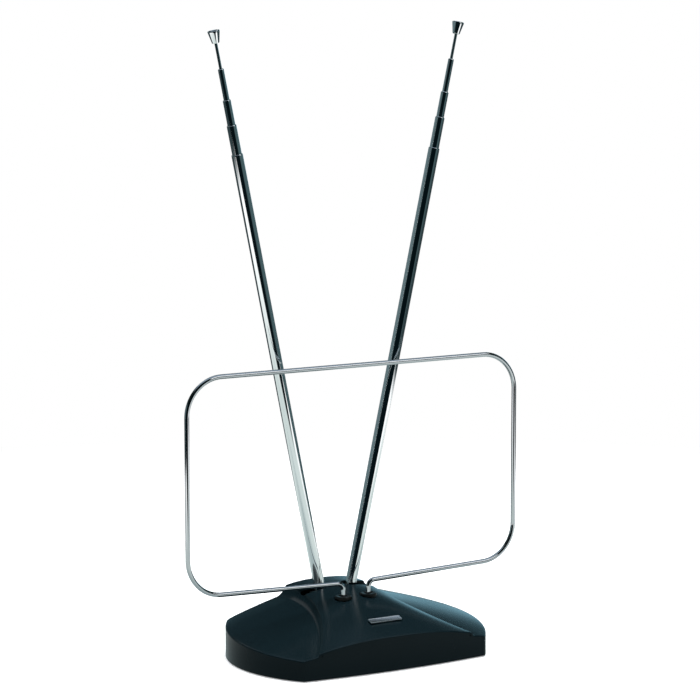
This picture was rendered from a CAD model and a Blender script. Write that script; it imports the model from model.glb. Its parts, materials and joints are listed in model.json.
"""Looks of a tabletop rabbit ears antenna: two telescopic masts and a plug-in wire loop on a moulded base.

Metres, +Z up, +X to the right of someone facing the front, +Y to the back. Each piece is modelled on the
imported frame, so it stands where its CAD node stands and rides on the same body.
"""

import json
import math

import bmesh
import bpy
from mathutils import Matrix, Vector


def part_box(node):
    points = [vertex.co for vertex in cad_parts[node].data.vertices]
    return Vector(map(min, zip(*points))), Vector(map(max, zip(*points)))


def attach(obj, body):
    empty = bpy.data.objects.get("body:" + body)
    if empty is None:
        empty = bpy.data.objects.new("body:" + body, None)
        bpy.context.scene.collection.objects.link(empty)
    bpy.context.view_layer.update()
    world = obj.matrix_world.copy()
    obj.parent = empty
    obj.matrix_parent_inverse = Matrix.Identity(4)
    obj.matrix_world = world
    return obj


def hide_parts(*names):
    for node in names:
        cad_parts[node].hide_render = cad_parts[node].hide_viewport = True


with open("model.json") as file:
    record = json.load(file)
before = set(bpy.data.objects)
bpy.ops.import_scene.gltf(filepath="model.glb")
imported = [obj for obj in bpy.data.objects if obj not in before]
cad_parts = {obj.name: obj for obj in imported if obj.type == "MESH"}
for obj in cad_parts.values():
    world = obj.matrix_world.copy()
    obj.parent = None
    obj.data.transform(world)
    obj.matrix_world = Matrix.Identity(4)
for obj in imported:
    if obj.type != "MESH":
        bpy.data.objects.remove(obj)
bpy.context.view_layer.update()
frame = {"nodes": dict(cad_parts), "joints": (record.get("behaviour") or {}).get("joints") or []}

MM = 0.001
NODES = frame["nodes"]
JOINTS = {joint["name"]: joint for joint in frame["joints"]}
SIDES = {"left": -1, "right": 1}

# Camera, on a tripod in front and to the left.
CAMERA_PLACE = (-0.8371, -1.4063, 0.4068)
CAMERA_AZIMUTH = -30.607
CAMERA_ELEVATION = 7.91
CAMERA_LENS = 147.4

# Base outline, seen from above.
FRONT_Y = -43.2 * MM
BACK_Y = 45.2 * MM
FRONT_BULGE = 3.8 * MM
HALF_WIDTH = 77.1 * MM
END_CENTRE = 45.2 * MM
END_DEPTH = 73.3 * MM
SKIRT_Z = 0.6 * MM
COVER_WALL = 2.2 * MM

# Crown of the base.
RIM_Z = 12.0 * MM
RIM_RISE = 0.075
RIDGE_DEPTH = 76.0 * MM
BAND_EDGE_Z = 15.8 * MM
BAND_EDGE_RISE = 19.4 * MM
BAND_MIDDLE_Z = 21.9 * MM
BAND_MIDDLE_RISE = 15.3 * MM
BAND_HALF = 22.8 * MM
BAND_FLARE = 28.7 * MM
FLARE_DEPTH = 66.0 * MM
STEP_DROP = (2.2 * MM, 6.5 * MM)
STEP_RUN = (2.5 * MM, 6.5 * MM)
BAND_EDGE_ROUNDING = 0.45 * MM
LEDGE = 0.9 * MM
LEDGE_RUN = 0.18 * MM
RIM_ROUNDING = 0.9 * MM


# How fast the crown's curves bend: 1 is straight.
BAND_EDGE_POWER = 1.5
BAND_MIDDLE_POWER = 1.7
FLARE_POWER = 1.8
ARCH_POWER = 2.4
STEP_POWER = 1.9
WING_POWER = 0.85

# Points closer than this are one point.
SEAM = 0.001 * MM


# ---------------------------------------------------------------- modelling helpers


def deselect():
    if bpy.context.mode != "OBJECT":
        bpy.ops.object.mode_set(mode="OBJECT")
    bpy.ops.object.select_all(action="DESELECT")


def add(name, primitive, **settings):
    """A new primitive, alone selected, with its place in its mesh."""
    deselect()
    primitive(**settings)
    piece = bpy.context.object
    piece.name = name
    piece.data.name = name
    settle(piece)
    return piece


def take(piece):
    deselect()
    piece.select_set(True)
    bpy.context.view_layer.objects.active = piece


def settle(piece):
    take(piece)
    bpy.ops.object.transform_apply(location=True, rotation=True, scale=True)


def edit(piece, mode="FACE"):
    take(piece)
    bpy.ops.object.mode_set(mode="EDIT")
    bpy.ops.mesh.select_mode(type=mode)
    bpy.ops.mesh.select_all(action="DESELECT")


def leave():
    bpy.ops.object.mode_set(mode="OBJECT")


def pick_faces(piece, test):
    """Selects, in edit mode, the faces whose centre and normal pass the test."""
    bm = bmesh.from_edit_mesh(piece.data)
    for face in bm.faces:
        face.select_set(bool(test(face.calc_center_median(), face.normal)))
    bmesh.update_edit_mesh(piece.data)


def pick_edges(piece, test):
    """Selects, in edit mode, the edges that pass the test."""
    bm = bmesh.from_edit_mesh(piece.data)
    for edge in bm.edges:
        edge.select_set(bool(test(edge)))
    bmesh.update_edit_mesh(piece.data)


def apply(piece, kind, **settings):
    """Adds a modifier and applies it."""
    take(piece)
    modifier = piece.modifiers.new(kind.lower(), kind)
    for key, value in settings.items():
        setattr(modifier, key, value)
    bpy.ops.object.modifier_apply(modifier=modifier.name)


def round_edges(piece, width, segments=3, angle=30):
    apply(
        piece,
        "BEVEL",
        width=width,
        segments=segments,
        limit_method="ANGLE",
        angle_limit=math.radians(angle),
        use_clamp_overlap=True,
    )


def combine(piece, other, operation):
    apply(piece, "BOOLEAN", operation=operation, object=other, solver="MANIFOLD")
    bpy.data.objects.remove(other, do_unlink=True)


def smooth(piece, angle=32):
    take(piece)
    bpy.ops.object.shade_smooth_by_angle(angle=math.radians(angle))


def turn(name, profile, steps=64, closed=False):
    """A profile of (radius, height) spun round Z. A closed one also joins its last point to its first."""
    piece = add(name, bpy.ops.mesh.primitive_plane_add, size=MM)
    edit(piece, "VERT")
    bpy.ops.mesh.select_all(action="SELECT")
    bpy.ops.mesh.merge(type="CENTER")
    radius, height = profile[0]
    bpy.ops.transform.translate(value=(radius, 0, height))
    for next_radius, next_height in profile[1:] + (profile[:1] if closed else []):
        bpy.ops.mesh.extrude_vertices_move(
            TRANSFORM_OT_translate={"value": (next_radius - radius, 0, next_height - height)}
        )
        radius, height = next_radius, next_height
    bpy.ops.mesh.select_all(action="SELECT")
    bpy.ops.mesh.spin(steps=steps, angle=2 * math.pi, center=(0, 0, 0), axis=(0, 0, 1))
    bpy.ops.mesh.select_all(action="SELECT")
    bpy.ops.mesh.remove_doubles(threshold=SEAM)
    bpy.ops.mesh.normals_make_consistent(inside=False)
    leave()
    return piece


def quarter(radius, height, size, steps=5):
    """Points of a rounded shoulder that ends at this radius and height, from its side up to its top."""
    points = []
    for i in range(steps + 1):
        angle = math.pi / 2 * i / steps
        points.append((radius - size + size * math.cos(angle), height - size + size * math.sin(angle)))
    return points


def stand(piece, foot, axis):
    """Moves a piece that was made on the Z axis to a foot point, with Z along the axis."""
    turn_to = Vector((0, 0, 1)).rotation_difference(Vector(axis)).to_matrix().to_4x4()
    piece.matrix_world = Matrix.Translation(foot) @ turn_to
    settle(piece)


def copy_piece(piece, name, shift):
    """A copy with its own mesh, moved by the shift."""
    copied = piece.copy()
    copied.data = piece.data.copy()
    copied.name = name
    copied.data.name = name
    bpy.context.scene.collection.objects.link(copied)
    copied.location = shift
    settle(copied)
    return copied


def give(piece, body, slot, *nodes):
    """Says which body a finished piece rides on, its finish, and the CAD nodes that it stands for."""
    piece.data.materials.clear()
    piece.data.materials.append(FINISHES[slot])
    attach(piece, body)
    if nodes:
        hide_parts(*nodes)


def middle(node):
    low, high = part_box(node)
    return (low + high) / 2


def reach(node, foot, axis):
    """Lowest and highest distance of a CAD node along an axis, and its largest radius round it."""
    heights = []
    radii = []
    for vert in NODES[node].data.vertices:
        offset = vert.co - foot
        height = offset.dot(axis)
        heights.append(height)
        radii.append((offset - axis * height).length)
    return min(heights), max(heights), max(radii)


# ---------------------------------------------------------------- finishes


NOISE_LOW = 0.3
NOISE_HIGH = 0.7


class Recipe:
    """One finish: a Principled shader and the patterns that feed it, on object coordinates."""

    def __init__(self, name, **sockets):
        self.material = bpy.data.materials.new(name)
        self.material.use_nodes = True
        self.nodes = self.material.node_tree.nodes
        self.links = self.material.node_tree.links
        self.shader = self.nodes["Principled BSDF"]
        self.place = self.nodes.new("ShaderNodeTexCoord").outputs["Object"]
        for key, value in sockets.items():
            socket = self.shader.inputs[key.replace("_", " ")]
            socket.default_value = (*value, 1.0) if isinstance(value, tuple) else value

    def noise(self, scale, detail=3.0, stretch=(1, 1, 1)):
        mapping = self.nodes.new("ShaderNodeMapping")
        mapping.inputs["Scale"].default_value = stretch
        self.links.new(self.place, mapping.inputs["Vector"])
        noise = self.nodes.new("ShaderNodeTexNoise")
        noise.inputs["Scale"].default_value = scale
        noise.inputs["Detail"].default_value = detail
        self.links.new(mapping.outputs["Vector"], noise.inputs["Vector"])
        return noise.outputs["Fac"]

    def ramp(self, source, low, high):
        """The middle range of a noise, spread from low to high."""
        spread = self.nodes.new("ShaderNodeMapRange")
        spread.inputs["From Min"].default_value = NOISE_LOW
        spread.inputs["From Max"].default_value = NOISE_HIGH
        spread.inputs["To Min"].default_value = low
        spread.inputs["To Max"].default_value = high
        self.links.new(source, spread.inputs["Value"])
        return spread.outputs["Result"]

    def sum(self, first, second):
        adding = self.nodes.new("ShaderNodeMath")
        adding.operation = "ADD"
        self.links.new(first, adding.inputs[0])
        self.links.new(second, adding.inputs[1])
        return adding.outputs["Value"]

    def roughness(self, source):
        self.links.new(source, self.shader.inputs["Roughness"])

    def colour(self, source, dark, light):
        mix = self.nodes.new("ShaderNodeMix")
        mix.data_type = "RGBA"
        mix.inputs["A"].default_value = (*dark, 1.0)
        mix.inputs["B"].default_value = (*light, 1.0)
        self.links.new(source, mix.inputs["Factor"])
        self.links.new(mix.outputs["Result"], self.shader.inputs["Base Color"])

    def bump(self, source, strength, distance):
        bump = self.nodes.new("ShaderNodeBump")
        bump.inputs["Strength"].default_value = strength
        bump.inputs["Distance"].default_value = distance
        self.links.new(source, bump.inputs["Height"])
        self.links.new(bump.outputs["Normal"], self.shader.inputs["Normal"])


def cover_plastic():
    """Dark petrol-grey moulded plastic with a soft polish, faint handling marks and a fine grain."""
    recipe = Recipe("cover_plastic", Specular_IOR_Level=0.11)
    recipe.colour(recipe.ramp(recipe.noise(22), 0, 1), (0.0036, 0.0092, 0.0118), (0.0044, 0.0108, 0.0140))
    smudges = recipe.ramp(recipe.noise(38, 4, (1, 0.6, 1)), 0.18, 0.25)
    grain = recipe.ramp(recipe.noise(2600, 2), -0.02, 0.03)
    recipe.roughness(recipe.sum(smudges, grain))
    recipe.bump(recipe.noise(1900, 2), 0.05, 0.02 * MM)
    return recipe.material


def inner_plastic():
    """Black moulding of the base plate and the mast bracket, left dull from the tool."""
    recipe = Recipe("inner_plastic", Specular_IOR_Level=0.25)
    recipe.colour(recipe.ramp(recipe.noise(60), 0, 1), (0.008, 0.011, 0.012), (0.013, 0.017, 0.018))
    recipe.roughness(recipe.ramp(recipe.noise(300, 4), 0.42, 0.6))
    recipe.bump(recipe.noise(1400, 3), 0.15, 0.03 * MM)
    return recipe.material


def collar_plastic():
    """Black nylon of the loop's sockets and the cable bush."""
    recipe = Recipe("collar_plastic", Specular_IOR_Level=0.2)
    recipe.colour(recipe.ramp(recipe.noise(120), 0, 1), (0.003, 0.004, 0.004), (0.006, 0.007, 0.007))
    recipe.roughness(recipe.ramp(recipe.noise(420, 4), 0.28, 0.42))
    recipe.bump(recipe.noise(2200, 2), 0.08, 0.02 * MM)
    return recipe.material


def chrome(name, tint):
    """Bright nickel and chrome plate, with faint drawing marks and a few wiped smears."""
    recipe = Recipe(name, Metallic=1.0)
    light = tuple(min(1.0, value * 1.03) for value in tint)
    recipe.colour(recipe.ramp(recipe.noise(30, 3), 0, 1), tint, light)
    smears = recipe.ramp(recipe.noise(45, 5, (1, 1, 0.35)), 0.025, 0.075)
    drawn = recipe.ramp(recipe.noise(5200, 1, (1, 1, 0.02)), -0.006, 0.012)
    recipe.roughness(recipe.sum(smears, drawn))
    return recipe.material


def metal(name, dark, light, low, high, grain=700):
    """Plain metal between two colours and two roughnesses."""
    recipe = Recipe(name, Metallic=1.0)
    recipe.colour(recipe.ramp(recipe.noise(160, 4), 0, 1), dark, light)
    recipe.roughness(recipe.ramp(recipe.noise(grain, 4), low, high))
    recipe.bump(recipe.noise(grain * 2, 3), 0.12, 0.02 * MM)
    return recipe.material


def dull(name, dark, light, low, high, grain=500, depth=0.25):
    """Rubber, laminate or ceramic, with a grain of that scale and depth."""
    recipe = Recipe(name, Specular_IOR_Level=0.35)
    recipe.colour(recipe.ramp(recipe.noise(grain * 0.3, 4), 0, 1), dark, light)
    recipe.roughness(recipe.ramp(recipe.noise(grain, 4), low, high))
    recipe.bump(recipe.noise(grain * 2, 3), depth, 0.05 * MM)
    return recipe.material


def badge_silver():
    """Brushed, lacquered aluminium, with the brush lines along the bar."""
    recipe = Recipe("badge_silver", Metallic=1.0, Coat_Weight=0.25, Coat_Roughness=0.08)
    streaks = recipe.ramp(recipe.noise(900, 2, (0.05, 1, 1)), 0, 1)
    recipe.colour(streaks, (0.60, 0.62, 0.63), (0.78, 0.80, 0.81))
    recipe.roughness(recipe.ramp(recipe.noise(2400, 2, (0.03, 1, 1)), 0.22, 0.38))
    recipe.bump(recipe.noise(3000, 2, (0.03, 1, 1)), 0.15, 0.01 * MM)
    return recipe.material


FINISHES = {
    "cover_plastic": cover_plastic(),
    "inner_plastic": inner_plastic(),
    "collar_plastic": collar_plastic(),
    "mast_chrome": chrome("mast_chrome", (0.80, 0.83, 0.84)),
    "loop_chrome": chrome("loop_chrome", (0.54, 0.56, 0.58)),
    "contact_brass": metal("contact_brass", (0.60, 0.40, 0.14), (0.78, 0.58, 0.26), 0.18, 0.34),
    "screw_steel": metal("screw_steel", (0.46, 0.47, 0.46), (0.62, 0.63, 0.62), 0.24, 0.42),
    "ballast_steel": metal("ballast_steel", (0.16, 0.14, 0.13), (0.28, 0.26, 0.24), 0.45, 0.65, 300),
    "foot_rubber": dull("foot_rubber", (0.012, 0.012, 0.012), (0.028, 0.027, 0.026), 0.7, 0.9),
    "board_laminate": dull("board_laminate", (0.16, 0.11, 0.035), (0.24, 0.17, 0.06), 0.35, 0.55),
    "ferrite": dull("ferrite", (0.03, 0.03, 0.033), (0.06, 0.06, 0.062), 0.55, 0.75),
    "capacitor_ceramic": dull(
        "capacitor_ceramic", (0.42, 0.20, 0.06), (0.55, 0.28, 0.09), 0.3, 0.5, depth=0.1
    ),
    "badge_silver": badge_silver(),
}


# ---------------------------------------------------------------- base cover


def depth(y):
    return y - FRONT_Y


def half_width(y):
    """The outline's half width: each end of the base is an arc of an ellipse."""
    return HALF_WIDTH * math.sqrt(max(0.0, 1 - ((depth(y) - END_CENTRE) / END_DEPTH) ** 2))


def bulge(x):
    """How far the front wall bows forward."""
    return -FRONT_BULGE * max(0.0, 1 - (x / half_width(FRONT_Y)) ** 2)


def climb(y, power):
    """Share of the climb from the front wall to the ridge."""
    return 1 - max(0.0, 1 - depth(y) / RIDGE_DEPTH) ** power


def band_half(y):
    """Half width of the raised band, which flares towards the front."""
    return BAND_HALF + BAND_FLARE * max(0.0, 1 - depth(y) / FLARE_DEPTH) ** FLARE_POWER


def front_to_back(pair, y):
    """A value that runs evenly from its first at the front to its second at the back."""
    share = min(1.0, max(0.0, depth(y) / (BACK_Y - FRONT_Y)))
    return pair[0] + (pair[1] - pair[0]) * share


def crown_z(x, y, row_y=None):
    """Height of the crown: the band's arch, rounded over its edge into the step, and the wing beside it.

    The rows of the crown bow forward with the front wall, so a row's own place sets its widths."""
    x = abs(x)
    row_y = y if row_y is None else row_y
    edge = BAND_EDGE_Z + BAND_EDGE_RISE * climb(y, BAND_EDGE_POWER)
    top = BAND_MIDDLE_Z + BAND_MIDDLE_RISE * climb(y, BAND_MIDDLE_POWER)
    band = band_half(row_y)
    run = front_to_back(STEP_RUN, row_y)
    rim = RIM_Z + RIM_RISE * depth(row_y)
    foot = edge - front_to_back(STEP_DROP, row_y)
    width = half_width(row_y)

    def wing(at):
        return rim + (foot - rim) * max(0.0, (width - at) / (width - band - run)) ** WING_POWER

    arch = top - (top - edge) * (min(x, band) / band) ** ARCH_POWER
    drop = edge - wing(band)
    if x < band:
        surface = arch
        gap = edge + (band - x) * LEDGE / LEDGE_RUN - arch
    else:
        ledge = LEDGE * max(0.0, 1 - (x - band) / LEDGE_RUN)
        surface = wing(x) + (drop - LEDGE) * max(0.0, 1 - (x - band) / run) ** STEP_POWER + ledge
        gap = edge - surface
    near = max(0.0, 1 - gap / BAND_EDGE_ROUNDING)
    return surface - near * near * BAND_EDGE_ROUNDING / 4


# Mesh of half the crown, from the middle outwards: arch, ledge, step, wing, and a narrow strip at the rim.
ARCH_COLUMNS = 20
LEDGE_COLUMNS = 2
STEP_COLUMNS = 11
WING_COLUMNS = 12
HALF_COLUMNS = ARCH_COLUMNS + STEP_COLUMNS + WING_COLUMNS
CROWN_ROWS = 74
RIM_STRIP = 1.3 * MM
ARCH_SPACING = 1.8
STEP_SPACING = 1.3


def column_x(index, y):
    """How far a column of the crown's mesh is from the middle. Columns close up towards the band's edge."""
    band = band_half(y)
    run = front_to_back(STEP_RUN, y)
    if index <= ARCH_COLUMNS:
        return band * (1 - (1 - index / ARCH_COLUMNS) ** ARCH_SPACING)
    index -= ARCH_COLUMNS
    if index <= LEDGE_COLUMNS:
        return band + LEDGE_RUN * index / LEDGE_COLUMNS
    if index <= STEP_COLUMNS:
        share = (index - LEDGE_COLUMNS) / (STEP_COLUMNS - LEDGE_COLUMNS)
        return band + LEDGE_RUN + (run - LEDGE_RUN) * share**STEP_SPACING
    index -= STEP_COLUMNS
    if index == WING_COLUMNS:
        return half_width(y)
    return band + run + (half_width(y) - RIM_STRIP - band - run) * index / (WING_COLUMNS - 1)


def shape_crown(cover):
    """Moves the points of a flat grid onto the crown."""
    for vert in cover.data.vertices:
        index = round(abs(vert.co.x) * 2 * HALF_COLUMNS)
        share = vert.co.y + 0.5
        y = FRONT_Y + (BACK_Y - FRONT_Y) * share
        x = math.copysign(column_x(index, y), vert.co.x)
        bowed_y = y + bulge(x) * (1 - share) ** 2
        vert.co = (x, bowed_y, crown_z(x, bowed_y, y))


# A wall's first length, before it is flattened onto the skirt, and what counts as upright and as sharp.
FIRST_DROP = 5 * MM
UPRIGHT = 0.05
SHARP = math.radians(25)


def drop_walls(cover):
    """Extrudes the crown's outer edge down to the skirt, and rounds the rim and the upright corners."""
    edit(cover, "EDGE")
    pick_edges(cover, lambda edge: edge.is_boundary)
    bpy.ops.mesh.extrude_edges_move(TRANSFORM_OT_translate={"value": (0, 0, -FIRST_DROP)})
    bpy.ops.transform.resize(value=(1, 1, 0), center_override=(0, 0, SKIRT_Z))
    bpy.ops.mesh.select_all(action="SELECT")
    bpy.ops.mesh.normals_make_consistent(inside=False)
    bm = bmesh.from_edit_mesh(cover.data)
    bm.normal_update()

    def turns(edge):
        if edge.is_boundary:
            return False
        walls = [abs(face.normal.z) < UPRIGHT for face in edge.link_faces]
        return any(walls) and edge.calc_face_angle() > SHARP

    pick_edges(cover, turns)
    bpy.ops.mesh.bevel(
        offset=RIM_ROUNDING,
        segments=4,
        profile=0.5,
        affect="EDGES",
        clamp_overlap=True,
        offset_type="WIDTH",
    )
    leave()


def block(name, low, high):
    """A box between two corners, for cutting."""
    low, high = Vector(low), Vector(high)
    return add(name, bpy.ops.mesh.primitive_cube_add, size=1, location=(low + high) / 2, scale=high - low)


def peg(name, radius, foot, length, axis="Z", sides=48):
    """A round cutter of that length from its foot."""
    direction = {"Y": Vector((0, 1, 0)), "Z": Vector((0, 0, 1))}[axis]
    rotation = {"Y": (math.pi / 2, 0, 0), "Z": (0, 0, 0)}[axis]
    return add(
        name,
        bpy.ops.mesh.primitive_cylinder_add,
        radius=radius,
        depth=length,
        vertices=sides,
        location=Vector(foot) + direction * length / 2,
        rotation=rotation,
    )


# Mast slots.
SLOT_HALF = 5.0 * MM
SLOT_END_X = 9.8 * MM
SLOT_END_Z = 29.2 * MM
SLOT_CLEARANCE = 0.4 * MM
TROUGH_START = 3.8 * MM
TROUGH_END = 60 * MM
TROUGH_HEIGHT = 30 * MM
TROUGH_ROUNDING = 2.5 * MM
TUBE_RADIUS = 3.3 * MM
FOLD_OUT = math.radians(65)

# Holes for the loop's sockets and the cable bush.
SEAT_CLEARANCE = 0.3 * MM
SEAT_DEPTH = 1.9 * MM
HOLE_RADIUS = 4.4 * MM
NOTCH_HALF = 3.2 * MM
CUT_PAST = 6 * MM
CUT_LENGTH = 20 * MM


def cut_slots(cover):
    """A slot for each mast: a round inner end, and a trough under the mast's line when it is folded out."""
    for side, sign in SIDES.items():
        pivot = Vector(JOINTS[f"mast_{side}_fold"]["pos_m"])
        end = peg(f"slot_end_{side}", SLOT_HALF, (sign * SLOT_END_X, pivot.y, SLOT_END_Z), CUT_LENGTH)
        combine(cover, end, "DIFFERENCE")
        floor = -TUBE_RADIUS - SLOT_CLEARANCE
        trough = block(
            f"slot_{side}", (TROUGH_START, -SLOT_HALF, floor), (TROUGH_END, SLOT_HALF, floor + TROUGH_HEIGHT)
        )
        edit(trough, "EDGE")

        def floor_edge(edge):
            first, second = edge.verts
            return max(first.co.z, second.co.z) < 0 and abs(first.co.x - second.co.x) > TROUGH_START

        pick_edges(trough, floor_edge)
        bpy.ops.mesh.bevel(offset=TROUGH_ROUNDING, segments=6, affect="EDGES")
        leave()
        trough.rotation_euler = (0, FOLD_OUT - math.pi / 2, 0 if sign > 0 else math.pi)
        trough.location = pivot
        settle(trough)
        combine(cover, trough, "DIFFERENCE")


def make_cover():
    """One grid shaped into the crown, given its walls and thickness, then cut for masts, loop and cable."""
    cover = add(
        "moulded_cover",
        bpy.ops.mesh.primitive_grid_add,
        x_subdivisions=2 * HALF_COLUMNS,
        y_subdivisions=CROWN_ROWS,
        size=1,
    )
    shape_crown(cover)
    drop_walls(cover)
    apply(cover, "SOLIDIFY", thickness=COVER_WALL, offset=-1, use_even_offset=False)
    cut_slots(cover)
    for side in SIDES:
        collar = middle(f"loop_socket_{side}")
        low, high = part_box(f"loop_socket_{side}")
        flange = (high.x - low.x) / 2 + SEAT_CLEARANCE
        seat = peg("seat", flange, (collar.x, collar.y, high.z - SEAT_DEPTH), CUT_LENGTH)
        combine(cover, seat, "DIFFERENCE")
        hole = peg("socket_hole", HOLE_RADIUS, (collar.x, collar.y, high.z - CUT_LENGTH), 2 * CUT_LENGTH)
        combine(cover, hole, "DIFFERENCE")
    bush = middle("cable_bush")
    inside_y = BACK_Y - CUT_PAST
    hole = peg("cable_hole", HOLE_RADIUS, (bush.x, inside_y, bush.z), 2 * CUT_PAST, "Y")
    combine(cover, hole, "DIFFERENCE")
    notch = block("cable_notch", (-NOTCH_HALF, inside_y, -CUT_PAST), (NOTCH_HALF, BACK_Y + CUT_PAST, bush.z))
    combine(cover, notch, "DIFFERENCE")
    smooth(cover, 30)
    give(cover, "base", "cover_plastic", "base_cover")


# ---------------------------------------------------------------- sockets, bush, feet, screws and badge


COLLAR_NECK = 4.1 * MM
COLLAR_BORE = 1.55 * MM
COLLAR_FLANGE = 1.6 * MM


def make_collars():
    """Flanged black sockets that the loop's feet plug into."""
    for side in SIDES:
        node = f"loop_socket_{side}"
        low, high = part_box(node)
        place = middle(node)
        flange = (high.x - low.x) / 2
        height = high.z - low.z
        flange_z = height - COLLAR_FLANGE
        profile = [(COLLAR_BORE, 0), (COLLAR_NECK, 0), (COLLAR_NECK, flange_z)]
        profile += [(flange - 0.2 * MM, flange_z), (flange, flange_z + 0.2 * MM)]
        profile += quarter(flange, height, 0.6 * MM)
        profile += [(COLLAR_BORE + 1.1 * MM, height), (COLLAR_BORE + 0.8 * MM, height - 0.25 * MM)]
        profile += [(COLLAR_BORE + 0.1 * MM, height - 0.7 * MM)]
        collar = turn(f"loop_collar_{side}", profile, 64, closed=True)
        smooth(collar, 40)
        stand(collar, (place.x, place.y, low.z), (0, 0, 1))
        give(collar, "base", "collar_plastic", node)


BUSH_BORE = 2.8 * MM
BUSH_FLANGE = 5.6 * MM
BUSH_TAIL = 5.0 * MM
BUSH_GROOVE = 4.1 * MM
BUSH_WALL = 2.8 * MM
WEB_HALF = 3.0 * MM
WEB_THICKNESS = 2.2 * MM
WEB_TOP_Z = 5.4 * MM


def make_bush():
    """The cable bush: a round grommet with a countersunk mouth, and a web that closes the notch under it."""
    low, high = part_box("cable_bush")
    place = middle("cable_bush")
    wall_y = BACK_Y + 0.3 * MM
    tail = wall_y - low.y
    out = high.y - wall_y
    profile = [(BUSH_BORE, -tail), (BUSH_TAIL - 0.4 * MM, -tail), (BUSH_TAIL, -tail + 0.4 * MM)]
    profile += [(BUSH_TAIL, -BUSH_WALL), (BUSH_GROOVE, -BUSH_WALL), (BUSH_GROOVE, 0), (BUSH_FLANGE, 0)]
    profile += quarter(BUSH_FLANGE, out, 0.9 * MM, 6)
    profile += [(BUSH_BORE + 1.1 * MM, out), (BUSH_BORE + 0.8 * MM, out - 0.1 * MM)]
    profile += [(BUSH_BORE + 0.15 * MM, out - 0.9 * MM), (BUSH_BORE, out - 1.4 * MM)]
    bush = turn("cable_grommet", profile, 64, closed=True)
    stand(bush, (place.x, wall_y, place.z), (0, 1, 0))
    web_foot = (-WEB_HALF, wall_y - WEB_THICKNESS, SKIRT_Z + 0.3 * MM)
    web = block("web", web_foot, (WEB_HALF, wall_y, WEB_TOP_Z))
    combine(bush, web, "UNION")
    smooth(bush, 40)
    give(bush, "base", "collar_plastic", "cable_bush")


def make_feet():
    """Round rubber pads with two shallow rings moulded in their faces."""
    for end in ("front", "rear"):
        for side in SIDES:
            node = f"foot_{end}_{side}"
            low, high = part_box(node)
            place = middle(node)
            radius = (high.x - low.x) / 2
            height = high.z - low.z
            profile = [(0, 0.25 * MM), (1.6 * MM, 0.25 * MM), (1.9 * MM, 0)]
            profile += [(3.2 * MM, 0), (3.4 * MM, 0.2 * MM), (3.9 * MM, 0.2 * MM), (4.1 * MM, 0)]
            profile += [(radius - 0.35 * MM, 0), (radius, 0.35 * MM)]
            profile += [(radius, height), (0, height)]
            foot = turn(f"rubber_foot_{end}_{side}", profile, 48)
            smooth(foot, 40)
            stand(foot, (place.x, place.y, low.z), (0, 0, 1))
            give(foot, "base", "foot_rubber", node)


SCREW_HEAD = 1.3 * MM
SCREW_SHANK = 1.3 * MM
SCREW_PITCH = 0.9 * MM
RECESS_WIDTH = 0.55 * MM


def make_screw(name, head_radius, length):
    """A pan head screw on the Z axis, head down, with a cross recess, a thread and a blunt point."""
    core = SCREW_SHANK * 0.8
    profile = [(0, 0), (head_radius * 0.45, 0.03 * MM), (head_radius * 0.8, SCREW_HEAD * 0.25)]
    profile += [(head_radius, SCREW_HEAD * 0.65), (head_radius, SCREW_HEAD), (core, SCREW_HEAD)]
    height = SCREW_HEAD + 0.6 * MM
    while height < length - 2 * SCREW_PITCH:
        profile += [(core, height), (SCREW_SHANK, height + SCREW_PITCH * 0.45)]
        profile += [(core, height + SCREW_PITCH * 0.9)]
        height += SCREW_PITCH
    profile += [(SCREW_SHANK * 0.7, length - 1.2 * MM), (SCREW_SHANK * 0.35, length), (0, length)]
    screw = turn(name, profile, 32)
    for angle in (0, math.pi / 2):
        wing = add(
            "recess",
            bpy.ops.mesh.primitive_cube_add,
            size=1,
            location=(0, 0, 0.2 * MM),
            rotation=(0, 0, angle + math.pi / 4),
            scale=(head_radius * 1.05, RECESS_WIDTH, 1.4 * MM),
        )
        edit(wing, "FACE")
        pick_faces(wing, lambda centre, normal: normal.z > 0.9)
        bpy.ops.transform.resize(value=(0.35, 0.35, 1), center_override=(0, 0, 0.9 * MM))
        leave()
        combine(screw, wing, "DIFFERENCE")
    smooth(screw, 35)
    return screw


def make_screws():
    """Cover screws in the plate's counterbores and the screws that hold the mast bracket up."""
    groups = {
        "cover_screw": [f"cover_screw_{end}_{side}" for end in ("front", "rear") for side in SIDES],
        "bracket_screw": [f"bracket_screw_{end}" for end in ("front", "rear")],
    }
    for kind, nodes in groups.items():
        low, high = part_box(nodes[0])
        radius = (high.x - low.x) / 2
        model = make_screw(f"{kind}_model", radius, high.z - low.z)
        for node in nodes:
            place = middle(node)
            screw = copy_piece(model, f"cross_{node}", (place.x, place.y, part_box(node)[0].z))
            give(screw, "base", "screw_steel", node)
        bpy.data.objects.remove(model, do_unlink=True)


BADGE_CORNER = 0.7 * MM
BADGE_RIM = 0.35 * MM
BADGE_SINK = 0.12 * MM


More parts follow.
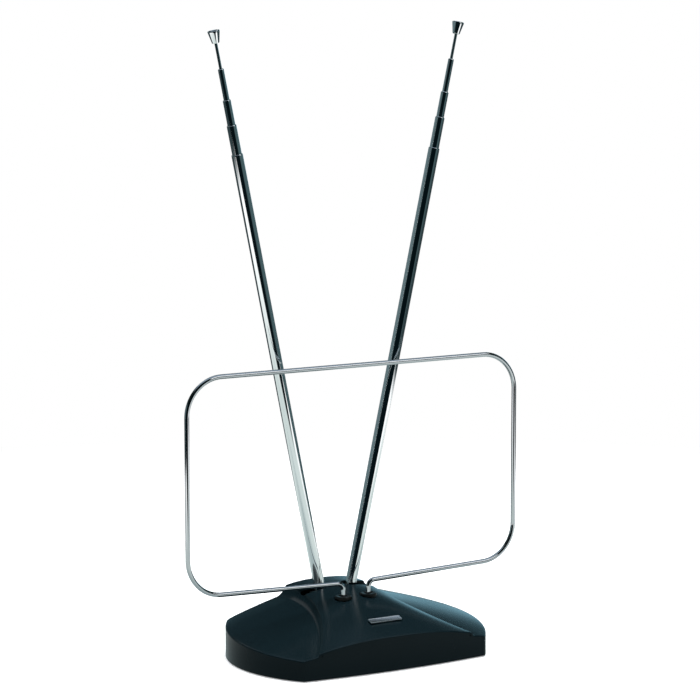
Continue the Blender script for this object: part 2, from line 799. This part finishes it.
def make_badge():
    """A plain silver bar with a raised rim, lying on the front slope."""
    points = [vert.co for vert in NODES["badge_bar"].data.vertices]
    place = middle("badge_bar")
    step = 2 * MM
    rise = (crown_z(place.x, place.y + step) - crown_z(place.x, place.y - step)) / (2 * step)
    lean = (crown_z(place.x + step, place.y) - crown_z(place.x - step, place.y)) / (2 * step)
    normal = Vector((-lean, -rise, 1)).normalized()
    across = Vector((1, 0, lean)).normalized()
    along = normal.cross(across)
    place_in_slope = Matrix((across, along, normal)).transposed().to_4x4()
    spans = [[point.dot(way) for point in points] for way in (across, along, normal)]
    size = [max(span) - min(span) for span in spans]
    bar = add("plain_badge", bpy.ops.mesh.primitive_cube_add, size=1, scale=size)
    edit(bar, "EDGE")

    def corner(edge):
        first, second = edge.verts
        return abs(first.co.z - second.co.z) > 0.5 * size[2]

    pick_edges(bar, corner)
    bpy.ops.mesh.bevel(offset=BADGE_CORNER, segments=5, affect="EDGES")
    bpy.ops.mesh.select_mode(type="FACE")
    pick_faces(bar, lambda centre, face_normal: face_normal.z > 0.9)
    bpy.ops.mesh.inset(thickness=BADGE_RIM, depth=0)
    bpy.ops.mesh.inset(thickness=BADGE_SINK, depth=-BADGE_SINK)
    leave()
    round_edges(bar, 0.06 * MM, 2, 40)
    smooth(bar, 30)
    bar.matrix_world = Matrix.Translation(place) @ place_in_slope
    settle(bar)
    give(bar, "base", "badge_silver", "badge_bar")


# ---------------------------------------------------------------- loop


WIRE_SIDES = 24
LOOP_CORNER = 22.0 * MM
FOOT_BEND = 4.0 * MM
RUN_START_Z = 42.3 * MM
RUN_SLOPE = math.radians(1.78)
CORNER_STEPS = 20
FOOT_STEPS = 10


def make_loop():
    """One bent wire: a disc carried up from the left foot, round the loop and down to the right foot."""
    low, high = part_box("uhf_loop")
    wire = (high.y - low.y) / 2
    plane_y = (low.y + high.y) / 2
    foot_x = middle("loop_socket_right").x
    slope = RUN_SLOPE
    corner_x = high.x - wire - LOOP_CORNER
    corner_z = high.z - wire - LOOP_CORNER
    run_x = foot_x + FOOT_BEND * (1 - math.sin(slope))
    run_z = RUN_START_Z + math.tan(slope) * run_x
    bend_z = run_z - FOOT_BEND * math.cos(slope)

    loop = add(
        "wire_loop",
        bpy.ops.mesh.primitive_circle_add,
        radius=wire,
        vertices=WIRE_SIDES,
        fill_type="NGON",
        location=(-foot_x, plane_y, low.z),
    )
    edit(loop, "FACE")
    bpy.ops.mesh.select_all(action="SELECT")

    def straight(x, z):
        bpy.ops.mesh.extrude_region_move(TRANSFORM_OT_translate={"value": (x, 0, z)})

    def bend(x, z, angle, steps):
        centre = (x, plane_y, z)
        bpy.ops.mesh.spin(steps=steps, angle=angle, center=centre, axis=(0, 1, 0), use_auto_merge=False)

    foot_turn = math.pi / 2 - slope
    low_turn = slope - math.pi / 2
    run_length = corner_x + LOOP_CORNER * math.sin(slope) - run_x
    rise = run_length * math.tan(slope)
    low_corner_z = run_z + rise + LOOP_CORNER * math.cos(slope)
    straight(0, bend_z - low.z)
    bend(-foot_x - FOOT_BEND, bend_z, foot_turn, FOOT_STEPS)
    straight(-run_length, rise)
    bend(-corner_x, low_corner_z, low_turn, CORNER_STEPS)
    straight(0, corner_z - low_corner_z)
    bend(-corner_x, corner_z, -math.pi / 2, CORNER_STEPS)
    straight(2 * corner_x, 0)
    bend(corner_x, corner_z, -math.pi / 2, CORNER_STEPS)
    straight(0, low_corner_z - corner_z)
    bend(corner_x, low_corner_z, low_turn, CORNER_STEPS)
    straight(-run_length, -rise)
    bend(foot_x + FOOT_BEND, bend_z, foot_turn, FOOT_STEPS)
    straight(0, low.z - bend_z)
    leave()
    edit(loop, "FACE")
    bpy.ops.mesh.select_all(action="SELECT")
    bpy.ops.mesh.remove_doubles(threshold=SEAM)
    bpy.ops.mesh.normals_make_consistent(inside=False)
    leave()
    smooth(loop, 50)
    give(loop, "loop", "loop_chrome", "uhf_loop")


# ---------------------------------------------------------------- masts


# Each section closes on the next one in, which runs through its rolled mouth.
SECTIONS = {"outer_tube": "mast", "tube_2": "section_2", "tube_3": "section_3", "tube_4": "section_4"}
NECK = 8.0 * MM
TUBE_WALL = 0.35 * MM
RUNNING_GAP = 0.06 * MM
MOUTH_ROLL = 0.6 * MM
ROD_RADIUS = 0.85 * MM


def tube_profile(radius, low, high, inner, necked):
    """A tube with a rolled-in mouth that closes on the next section, and a reduced lower end if necked."""
    mouth = inner + RUNNING_GAP
    roll = min(MOUTH_ROLL, radius - mouth - 0.02 * MM)
    bore = radius - TUBE_WALL
    outside = [(radius, low)]
    inside = [(bore, low)]
    if necked:
        neck_z = low + NECK
        outside = [(bore, low), (bore, neck_z), (radius, neck_z + 0.4 * MM), (radius, neck_z + MM)]
        inside = [(bore, neck_z + 0.8 * MM), (bore - TUBE_WALL, neck_z + 0.4 * MM), (bore - TUBE_WALL, low)]
    straight = [(radius, high - roll - 0.3 * MM)]
    rolled = [(mouth, high), (mouth, high - 0.5 * MM), (bore, high - 0.8 * MM)]
    return outside + straight + quarter(radius, high, roll, 6) + rolled + inside


def make_tubes(side, pivot, axis):
    """The outer tube and the three that slide in it."""
    spans = [reach(f"{name}_{side}", pivot, axis) for name in SECTIONS]
    inner_radii = [radius for low, high, radius in spans[1:]] + [ROD_RADIUS]
    for (name, body), (low, high, radius), inner in zip(SECTIONS.items(), spans, inner_radii):
        profile = tube_profile(radius, low, high, inner, name != "outer_tube")
        tube = turn(f"mast_{side}_{name}", profile, 64, closed=True)
        smooth(tube, 40)
        stand(tube, pivot, axis)
        give(tube, f"{body}_{side}", "mast_chrome", f"{name}_{side}")


def make_rod(side, pivot, axis):
    """The innermost section: a rod with a wider foot that runs in the last tube."""
    low, high, foot_radius = reach(f"inner_rod_{side}", pivot, axis)
    profile = [(0, low), (foot_radius - 0.2 * MM, low), (foot_radius, low + 0.2 * MM)]
    profile += [(foot_radius, low + 0.9 * MM), (ROD_RADIUS, low + 1.1 * MM), (ROD_RADIUS, low + 2 * MM)]
    profile += [(ROD_RADIUS, high), (0, high)]
    rod = turn(f"mast_{side}_inner_rod", profile, 32)
    smooth(rod, 40)
    stand(rod, pivot, axis)
    give(rod, f"rod_{side}", "mast_chrome", f"inner_rod_{side}")


TIP_BORE = 0.92 * MM
TIP_FOOT = 2.2 * MM
TIP_DISH = 0.34 * MM


def make_tip(side, pivot, axis):
    """The flared cap pressed on the rod's end: a cone with a rounded rim and a shallow dish in its top."""
    node = f"mast_tip_{side}"
    low, high, radius = reach(node, pivot, axis)
    inside = high - 1.7 * MM
    profile = [(0, inside), (TIP_BORE, inside), (TIP_BORE, low), (TIP_FOOT - 0.3 * MM, low)]
    profile += [(TIP_FOOT - 0.1 * MM, low + 0.15 * MM), (TIP_FOOT, low + 0.45 * MM)]
    profile += [(radius - 0.12 * MM, high - 1.2 * MM), (radius, high - 0.75 * MM)]
    profile += quarter(radius, high, 0.45 * MM, 4)
    profile += [(radius - 0.75 * MM, high), (radius - 1.1 * MM, high - 0.22 * MM)]
    profile += [(0.6 * MM, high - TIP_DISH), (0, high - TIP_DISH)]
    tip = turn(f"flared_tip_{side}", profile, 64)
    smooth(tip, 32)
    stand(tip, pivot, axis)
    give(tip, f"rod_{side}", "mast_chrome", node)


EYE_RADIUS = 4.0 * MM
EYE_HALF = 1.5 * MM
EYE_BORE = 1.75 * MM
KNUCKLE_NECK_HALF = 2.5 * MM
SHOULDER_Z = 6.5 * MM
SHOULDER_HEIGHT = 1.9 * MM
STEM_RADIUS = 2.7 * MM
STEM_LENGTH = 10 * MM


def make_knuckle(side, pivot, axis):
    """The foot of a mast: a drilled eye on the pivot, a flat neck, and a round shoulder under the tube."""
    eye = peg(f"knuckle_{side}", EYE_RADIUS, (0, -EYE_HALF, 0), 2 * EYE_HALF, "Y")
    neck_top = (KNUCKLE_NECK_HALF, EYE_HALF, SHOULDER_Z + 0.7 * MM)
    combine(eye, block("neck", (-KNUCKLE_NECK_HALF, -EYE_HALF, 0), neck_top), "UNION")
    combine(eye, peg("shoulder", TUBE_RADIUS, (0, 0, SHOULDER_Z), SHOULDER_HEIGHT), "UNION")
    combine(eye, peg("stem", STEM_RADIUS, (0, 0, SHOULDER_Z + MM), STEM_LENGTH), "UNION")
    combine(eye, peg("bore", EYE_BORE, (0, -3 * EYE_HALF, 0), 6 * EYE_HALF, "Y", 32), "DIFFERENCE")
    round_edges(eye, 0.25 * MM, 3, 40)
    smooth(eye, 32)
    stand(eye, pivot, axis)
    give(eye, f"mast_{side}", "mast_chrome", f"mast_knuckle_{side}")


def make_masts():
    for side in SIDES:
        pivot = Vector(JOINTS[f"mast_{side}_fold"]["pos_m"])
        axis = Vector(JOINTS[f"section_2_{side}_slide"]["axis"]).normalized()
        make_knuckle(side, pivot, axis)
        make_tubes(side, pivot, axis)
        make_rod(side, pivot, axis)
        make_tip(side, pivot, axis)


# ---------------------------------------------------------------- finishes of the pieces that stay


KEPT = {
    "inner_plastic": ["base_plate", "mast_bracket"],
    "ballast_steel": ["ballast_weight"],
    "board_laminate": ["circuit_board"],
    "ferrite": ["balun_core"],
    "capacitor_ceramic": ["coupling_capacitor"],
    "contact_brass": ["ring_terminal", "loop_contact", "friction_sleeve"],
    "screw_steel": ["pivot_screw", "pivot_nut", "spring_washer"],
    "foot_rubber": ["friction_washer"],
}


def finish_kept_nodes():
    """Gives the CAD nodes that stay their finishes: those whose names start so."""
    for slot, starts in KEPT.items():
        for name, node in NODES.items():
            if name.startswith(tuple(starts)):
                node.data.materials.clear()
                node.data.materials.append(FINISHES[slot])


# ---------------------------------------------------------------- floor, light and camera


class Shading:
    """Writes the node tree of the floor and of the world, node by node."""

    def __init__(self, tree):
        self.nodes, self.links = tree.nodes, tree.links
        self.nodes.clear()

    def new(self, kind, **sockets):
        node = self.nodes.new(kind)
        for key, value in sockets.items():
            node.inputs[key.replace("_", " ")].default_value = value
        return node

    def output_of(self, kind, name):
        return self.nodes.new(kind).outputs[name]

    def maths(self, operation, first, second):
        node = self.nodes.new("ShaderNodeMath")
        node.operation = operation
        for socket, value in zip(node.inputs, (first, second)):
            if isinstance(value, (int, float)):
                socket.default_value = value
            else:
                self.links.new(value, socket)
        return node.outputs["Value"]

    def spread(self, source, start, end, low=0.0, high=1.0):
        node = self.new("ShaderNodeMapRange", From_Min=start, From_Max=end, To_Min=low, To_Max=high)
        self.links.new(source, node.inputs["Value"])
        return node.outputs["Result"]

    def along(self, source, way):
        """How far a vector reaches along a way."""
        node = self.nodes.new("ShaderNodeVectorMath")
        node.operation = "DOT_PRODUCT"
        node.inputs[1].default_value = way
        self.links.new(source, node.inputs[0])
        return node.outputs["Value"]

    def length(self, source):
        """How long a vector is."""
        node = self.nodes.new("ShaderNodeVectorMath")
        node.operation = "LENGTH"
        self.links.new(source, node.inputs[0])
        return node.outputs["Value"]

    def blend(self, factor, first, second):
        """A mix of two colours, each a socket or a constant."""
        node = self.nodes.new("ShaderNodeMix")
        node.data_type = "RGBA"
        self.links.new(factor, node.inputs["Factor"])
        for name, value in (("A", first), ("B", second)):
            if isinstance(value, tuple):
                node.inputs[name].default_value = (*value, 1)
            else:
                self.links.new(value, node.inputs[name])
        return node.outputs["Result"]

    def mix(self, factor, first, second):
        node = self.nodes.new("ShaderNodeMixShader")
        self.links.new(factor, node.inputs["Fac"])
        self.links.new(first, node.inputs[1])
        self.links.new(second, node.inputs[2])
        return node.outputs["Shader"]

    def glow(self, colour, kind="ShaderNodeEmission"):
        node = self.nodes.new(kind)
        if isinstance(colour, tuple):
            node.inputs["Color"].default_value = (*colour, 1)
        else:
            self.links.new(colour, node.inputs["Color"])
        return node.outputs[0]


# The table top that gloss sees: a rectangle with its front left corner cut off, and its soft edge.
TABLE_RIGHT = 0.62
TABLE_LEFT = -0.76
TABLE_FRONT = -1.15
TABLE_BACK = 0.30
TABLE_CUT = -0.45
TABLE_NEAR_FRONT = -0.40
TABLE_EDGE = 0.05

# Its brightness: under the antenna, beside it, and far off.
TABLE_SHADE = (0.40, 0.49, 0.50)
TABLE_NEAR = (0.74, 0.82, 0.80)
TABLE_FAR = (1.35, 1.35, 1.35)
SHADE_REACH = (0.05, 0.17)
FAR_REACH = (0.38, 0.66)

# The white floor that is looked at: plain white from here on.
FLOOR_SIZE = 12
FLOOR_REACH = (0.4, 0.75)
WHITE = (1, 1, 1)


def make_floor():
    """A white floor to look at. In reflections it is a table top of a set size, darker under the antenna."""
    floor = add("floor", bpy.ops.mesh.primitive_plane_add, size=FLOOR_SIZE)
    material = bpy.data.materials.new("white_table")
    material.use_nodes = True
    shading = Shading(material.node_tree)
    place = shading.output_of("ShaderNodeTexCoord", "Object")
    distance = shading.length(place)

    def inside(way, edge):
        return shading.spread(shading.along(place, way), edge - TABLE_EDGE, edge + TABLE_EDGE)

    on_table = shading.maths("MAXIMUM", inside((0, 1, 0), TABLE_NEAR_FRONT), inside((1, 1, 0), TABLE_CUT))
    edges = {(1, 0, 0): TABLE_LEFT, (-1, 0, 0): -TABLE_RIGHT, (0, 1, 0): TABLE_FRONT, (0, -1, 0): -TABLE_BACK}
    for way, edge in edges.items():
        on_table = shading.maths("MULTIPLY", on_table, inside(way, edge))

    squeezed = shading.nodes.new("ShaderNodeVectorMath")
    squeezed.operation = "MULTIPLY"
    squeezed.inputs[1].default_value = (0.55, 1, 1)
    shading.links.new(place, squeezed.inputs[0])
    shade = shading.spread(shading.length(squeezed.outputs["Vector"]), *SHADE_REACH)
    near = shading.blend(shade, TABLE_SHADE, TABLE_NEAR)
    top = shading.glow(shading.blend(shading.spread(distance, *FAR_REACH), near, TABLE_FAR))
    clear = shading.output_of("ShaderNodeBsdfTransparent", "BSDF")
    reflected = shading.mix(on_table, clear, top)

    paint = shading.new("ShaderNodeBsdfDiffuse", Color=(0.86, 0.87, 0.87, 1)).outputs["BSDF"]
    lifted = shading.nodes.new("ShaderNodeAddShader")
    shading.links.new(paint, lifted.inputs[0])
    shading.links.new(shading.glow((0.3, 0.3, 0.3)), lifted.inputs[1])
    away = shading.spread(distance, *FLOOR_REACH)
    seen = shading.mix(away, lifted.outputs["Shader"], shading.glow(WHITE))

    camera_ray = shading.output_of("ShaderNodeLightPath", "Is Camera Ray")
    output = shading.nodes.new("ShaderNodeOutputMaterial")
    shading.links.new(shading.mix(camera_ray, reflected, seen), output.inputs["Surface"])
    floor.data.materials.append(material)


# The studio that gloss sees, wall by wall.
LEFT_WALL = (0.14, 0.20, 0.215)
RIGHT_WALL = (0.07, 0.12, 0.13)
LOW_WALL = (0.035, 0.055, 0.06)
HIGH_WALL = (0.018, 0.022, 0.02)
REAR_LEFT = (0.14, 0.26, 0.31)
REAR_RIGHT = (0.60, 1.18, 1.46)
REAR_LOW = (0.05, 0.09, 0.11)
REAR_HIGH = (0.04, 0.075, 0.09)
CEILING = (0.46, 0.58, 0.70)
FRONT_ROOM = (0.002, 0.006, 0.008)


def make_world():
    """White to look at. In reflections it is a studio: grey-teal walls, bluer behind, with a dark front end.

    A direction is known by how far it reaches to the front, to the right and up. Each wall gives way to the
    next over a stretch of one of them."""
    world = bpy.data.worlds.new("studio")
    bpy.context.scene.world = world
    world.use_nodes = True
    shading = Shading(world.node_tree)
    way = shading.output_of("ShaderNodeTexCoord", "Generated")
    azimuth = math.radians(CAMERA_AZIMUTH)
    to_front = shading.along(way, (math.sin(azimuth), -math.cos(azimuth), 0))
    to_right = shading.along(way, (math.cos(azimuth), math.sin(azimuth), 0))
    height = shading.along(way, (0, 0, 1))

    sides = shading.blend(shading.spread(to_right, -0.2, 0.2), LEFT_WALL, RIGHT_WALL)
    sides = shading.blend(shading.spread(height, 0.22, 0.4), sides, HIGH_WALL)
    sides = shading.blend(shading.spread(height, -0.16, -0.08), LOW_WALL, sides)
    rear = shading.blend(shading.spread(to_right, -0.01, 0.07), REAR_LEFT, REAR_RIGHT)
    rear = shading.blend(shading.spread(height, -0.03, 0.01), REAR_LOW, rear)
    rear = shading.blend(shading.spread(height, 0.16, 0.25), rear, REAR_HIGH)
    rear = shading.blend(shading.spread(height, 0.28, 0.5), rear, HIGH_WALL)
    room = shading.blend(shading.spread(to_front, -0.96, -0.82), rear, sides)
    overhead = shading.spread(height, 0.72, 0.84)
    overhead = shading.maths("MULTIPLY", overhead, shading.spread(to_front, 0.35, 0.15))
    room = shading.blend(overhead, room, CEILING)
    room = shading.blend(shading.spread(to_front, 0.58, 0.70), room, FRONT_ROOM)

    reflected = shading.glow(room, "ShaderNodeBackground")
    seen = shading.glow(WHITE, "ShaderNodeBackground")
    camera_ray = shading.output_of("ShaderNodeLightPath", "Is Camera Ray")
    output = shading.nodes.new("ShaderNodeOutputWorld")
    shading.links.new(shading.mix(camera_ray, reflected, seen), output.inputs["Surface"])


def make_light(name, place, target, size, power, reflected):
    """A softbox aimed at a target. One that isn't reflected lights the piece but makes no highlight."""
    light = bpy.data.lights.new(name, "AREA")
    light.shape = "RECTANGLE"
    light.size, light.size_y = size
    light.energy = power
    lamp = bpy.data.objects.new(name, light)
    bpy.context.scene.collection.objects.link(lamp)
    lamp.location = place
    lamp.rotation_euler = (Vector(target) - Vector(place)).to_track_quat("-Z", "Y").to_euler()
    lamp.visible_camera = False
    lamp.visible_glossy = reflected


def make_lights():
    middle_of_base = (0, 0, 0)
    make_light("overhead_softbox", (0, 0, 1.35), middle_of_base, (1.5, 1.2), 34, reflected=False)
    make_light("front_softbox", (0.66, -1.10, 1.05), (0, 0, 0.1), (0.9, 0.6), 3.2, reflected=True)
    make_light("rear_softbox", (-0.14, 1.0, 0.9), middle_of_base, (0.4, 0.3), 0.35, reflected=True)
    bpy.context.scene.view_settings.view_transform = "Standard"


def make_camera():
    camera = bpy.data.cameras.new("camera")
    camera.lens = CAMERA_LENS
    camera.sensor_width = 36
    camera.clip_start = 0.05
    camera.clip_end = 50
    eye = bpy.data.objects.new("camera", camera)
    bpy.context.scene.collection.objects.link(eye)
    eye.location = CAMERA_PLACE
    eye.rotation_euler = (math.radians(90 - CAMERA_ELEVATION), 0, math.radians(CAMERA_AZIMUTH))
    bpy.context.scene.camera = eye


# ---------------------------------------------------------------- assembly


make_floor()
make_world()
make_lights()
make_camera()
make_cover()
make_collars()
make_bush()
make_feet()
make_screws()
make_badge()
make_loop()
make_masts()
finish_kept_nodes()
